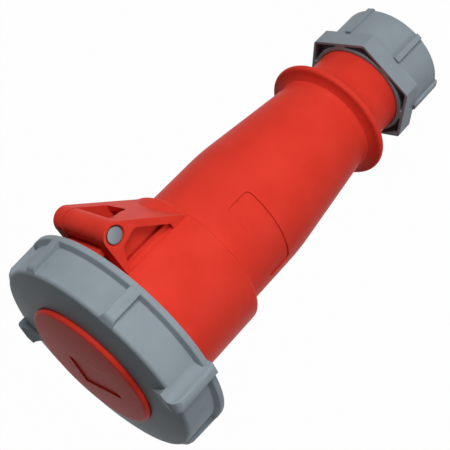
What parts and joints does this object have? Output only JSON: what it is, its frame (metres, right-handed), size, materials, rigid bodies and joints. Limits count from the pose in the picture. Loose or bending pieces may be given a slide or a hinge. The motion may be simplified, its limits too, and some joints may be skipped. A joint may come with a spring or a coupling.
{
  "type": "industrial power connector",
  "caption": "Round industrial cable socket with a hinged lid, a bayonet locking ring, a tapered hand grip and a hexagonal cable gland nut.",
  "frame": {"origin": "on the connector's axis at the outer end of the gland nut, which it stands on", "axes": "+Z along the connector's axis towards the lid, +Y towards the lid's hinge, X along the hinge pin"},
  "size_m": [0.1232, 0.1198, 0.2426],
  "materials": {
    "red_plastic": "satin moulded polyamide",
    "grey_plastic": "satin moulded polyamide",
    "insert_plastic": "satin moulded polyamide",
    "seal_rubber": "matt black rubber",
    "contact_brass": "machined brass",
    "plated_steel": "zinc-plated steel"
  },
  "bodies": {
    "housing": {"front_housing": "red_plastic", "rear_housing": "red_plastic", "contact_face": "insert_plastic", "contact_insert": "insert_plastic", "contact_retainer": "insert_plastic", "housing_gasket": "seal_rubber", "gland_seal": "seal_rubber", "hinge_pin": "plated_steel", "contact_l1": "contact_brass", "contact_l2": "contact_brass", "contact_l3": "contact_brass", "contact_neutral": "contact_brass", "contact_earth": "contact_brass", "contact_pilot": "contact_brass", "terminal_screw_l1": "plated_steel", "terminal_screw_l2": "plated_steel", "terminal_screw_l3": "plated_steel", "terminal_screw_neutral": "plated_steel", "terminal_screw_earth": "plated_steel"},
    "lid": {"lid": "red_plastic", "lid_gasket": "seal_rubber"},
    "ring": {"bayonet_ring": "grey_plastic"},
    "claw": {"gland_claw": "grey_plastic"},
    "nut": {"gland_nut": "grey_plastic"}
  },
  "joints": [
    {"name": "lid_hinge", "type": "hinge", "parent": "housing", "child": "lid", "pos_m": [0, 0.0549, 0.2034], "axis": [-1, 0, 0], "range_deg": [0, 110]},
    {"name": "ring_turn", "type": "hinge", "parent": "lid", "child": "ring", "pos_m": [0, 0, 0.2147], "axis": [0, 0, -1], "range_deg": [0, 45]},
    {"name": "gland_travel", "type": "slide", "parent": "housing", "child": "claw", "axis": [0, 0, -1], "range_m": [0, 0.003]},
    {"name": "nut_turn", "type": "hinge", "parent": "claw", "child": "nut", "pos_m": [0, 0, 0], "axis": [0, 0, -1], "range_deg": [0, 360]}
  ],
  "couplings": [
    {"joint": "nut_turn", "follows": "gland_travel", "rad_per_m": 2094}
  ]
}
